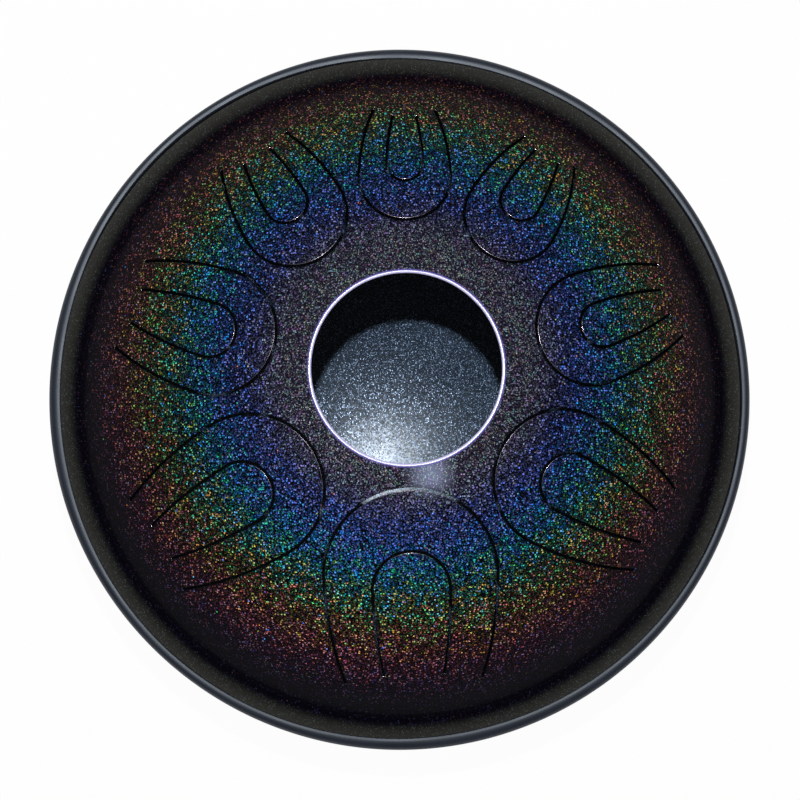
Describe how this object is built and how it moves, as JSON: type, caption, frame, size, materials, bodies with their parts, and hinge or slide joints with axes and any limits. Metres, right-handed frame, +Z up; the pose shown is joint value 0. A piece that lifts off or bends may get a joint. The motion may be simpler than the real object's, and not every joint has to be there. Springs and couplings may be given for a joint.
{
  "type": "steel tongue drum",
  "caption": "Lens-shaped steel tongue drum: two domed shells joined at a rubber-edged flange, with tuned drop-shaped tongues cut around an offset sound hole.",
  "frame": {"origin": "on the floor, under the drum's axis", "axes": "+Z up through the crown; +Y from the longest tongue towards the shortest one; +X to the right seen from above"},
  "size_m": [0.3999, 0.4, 0.1631],
  "materials": {
    "glitter_paint": "near-black paint with coarse rainbow glitter under clear coat",
    "shell_paint": "near-black paint outside, fine silver-blue glitter inside, clear coated",
    "bonding": "matte elastic bonding compound",
    "rubber_rim": "satin black rubber",
    "rubber_foot": "matte black rubber"
  },
  "bodies": {
    "drum": {"top_shell": "glitter_paint", "bottom_shell": "shell_paint", "flange_seal": "bonding", "rim_band": "rubber_rim", "foot_1": "rubber_foot", "foot_2": "rubber_foot", "foot_3": "rubber_foot", "foot_4": "rubber_foot"},
    "tongue_body_1": {"tongue_1": "glitter_paint"},
    "inner_body_1": {"inner_tongue_1": "glitter_paint"},
    "tongue_body_2": {"tongue_2": "glitter_paint"},
    "inner_body_2": {"inner_tongue_2": "glitter_paint"},
    "tongue_body_3": {"tongue_3": "glitter_paint"},
    "inner_body_3": {"inner_tongue_3": "glitter_paint"},
    "tongue_body_4": {"tongue_4": "glitter_paint"},
    "inner_body_4": {"inner_tongue_4": "glitter_paint"},
    "tongue_body_5": {"tongue_5": "glitter_paint"},
    "inner_body_5": {"inner_tongue_5": "glitter_paint"},
    "tongue_body_6": {"tongue_6": "glitter_paint"},
    "inner_body_6": {"inner_tongue_6": "glitter_paint"},
    "tongue_body_7": {"tongue_7": "glitter_paint"},
    "inner_body_7": {"inner_tongue_7": "glitter_paint"},
    "tongue_body_8": {"tongue_8": "glitter_paint"},
    "inner_body_8": {"inner_tongue_8": "glitter_paint"}
  },
  "joints": [
    {"name": "tongue_1_flex", "type": "hinge", "parent": "drum", "child": "tongue_body_1", "pos_m": [0.00688, -0.15747, 0.10907], "axis": [0.999, 0.0436, 0], "range_deg": [-0.5, 0.5], "stiffness_Nm_per_rad": 250},
    {"name": "inner_tongue_1_flex", "type": "hinge", "parent": "tongue_body_1", "child": "inner_body_1", "pos_m": [0.0067, -0.15347, 0.11223], "axis": [0.999, 0.0436, 0], "range_deg": [-0.5, 0.5], "stiffness_Nm_per_rad": 170},
    {"name": "tongue_2_flex", "type": "hinge", "parent": "drum", "child": "tongue_body_2", "pos_m": [-0.13638, -0.08195, 0.10786], "axis": [0.515, -0.8572, 0], "range_deg": [-0.5, 0.5], "stiffness_Nm_per_rad": 220},
    {"name": "inner_tongue_2_flex", "type": "hinge", "parent": "tongue_body_2", "child": "inner_body_2", "pos_m": [-0.13295, -0.07989, 0.11107], "axis": [0.515, -0.8572, 0], "range_deg": [-0.5, 0.5], "stiffness_Nm_per_rad": 140},
    {"name": "tongue_3_flex", "type": "hinge", "parent": "drum", "child": "tongue_body_3", "pos_m": [0.14154, -0.07368, 0.10748], "axis": [0.4617, 0.887, 0], "range_deg": [-0.5, 0.5], "stiffness_Nm_per_rad": 220},
    {"name": "inner_tongue_3_flex", "type": "hinge", "parent": "tongue_body_3", "child": "inner_body_3", "pos_m": [0.13799, -0.07183, 0.1107], "axis": [0.4617, 0.887, 0], "range_deg": [-0.5, 0.5], "stiffness_Nm_per_rad": 130},
    {"name": "tongue_4_flex", "type": "hinge", "parent": "drum", "child": "tongue_body_4", "pos_m": [-0.15141, 0.05214, 0.10701], "axis": [-0.3256, -0.9455, 0], "range_deg": [-0.5, 0.5], "stiffness_Nm_per_rad": 230},
    {"name": "inner_tongue_4_flex", "type": "hinge", "parent": "tongue_body_4", "child": "inner_body_4", "pos_m": [-0.14763, 0.05083, 0.11026], "axis": [-0.3256, -0.9455, 0], "range_deg": [-0.5, 0.5], "stiffness_Nm_per_rad": 140},
    {"name": "tongue_5_flex", "type": "hinge", "parent": "drum", "child": "tongue_body_5", "pos_m": [0.15098, 0.05495, 0.10657], "axis": [-0.342, 0.9397, 0], "range_deg": [-0.5, 0.5], "stiffness_Nm_per_rad": 220},
    {"name": "inner_tongue_5_flex", "type": "hinge", "parent": "tongue_body_5", "child": "inner_body_5", "pos_m": [0.14722, 0.05359, 0.10983], "axis": [-0.342, 0.9397, 0], "range_deg": [-0.5, 0.5], "stiffness_Nm_per_rad": 130},
    {"name": "tongue_6_flex", "type": "hinge", "parent": "drum", "child": "tongue_body_6", "pos_m": [-0.08289, 0.13795, 0.10635], "axis": [-0.8572, -0.515, 0], "range_deg": [-0.5, 0.5], "stiffness_Nm_per_rad": 230},
    {"name": "inner_tongue_6_flex", "type": "hinge", "parent": "tongue_body_6", "child": "inner_body_6", "pos_m": [-0.08083, 0.13452, 0.10962], "axis": [-0.8572, -0.515, 0], "range_deg": [-0.5, 0.5], "stiffness_Nm_per_rad": 150},
    {"name": "tongue_7_flex", "type": "hinge", "parent": "drum", "child": "tongue_body_7", "pos_m": [0.0831, 0.1383, 0.10601], "axis": [-0.8572, 0.515, 0], "range_deg": [-0.5, 0.5], "stiffness_Nm_per_rad": 210},
    {"name": "inner_tongue_7_flex", "type": "hinge", "parent": "tongue_body_7", "child": "inner_body_7", "pos_m": [0.08104, 0.13487, 0.10929], "axis": [-0.8572, 0.515, 0], "range_deg": [-0.5, 0.5], "stiffness_Nm_per_rad": 150},
    {"name": "tongue_8_flex", "type": "hinge", "parent": "drum", "child": "tongue_body_8", "pos_m": [0.00141, 0.16145, 0.10591], "axis": [-1, 0.0087, 0], "range_deg": [-0.5, 0.5], "stiffness_Nm_per_rad": 220},
    {"name": "inner_tongue_8_flex", "type": "hinge", "parent": "tongue_body_8", "child": "inner_body_8", "pos_m": [0.00137, 0.15745, 0.1092], "axis": [-1, 0.0087, 0], "range_deg": [-0.5, 0.5], "stiffness_Nm_per_rad": 140}
  ]
}
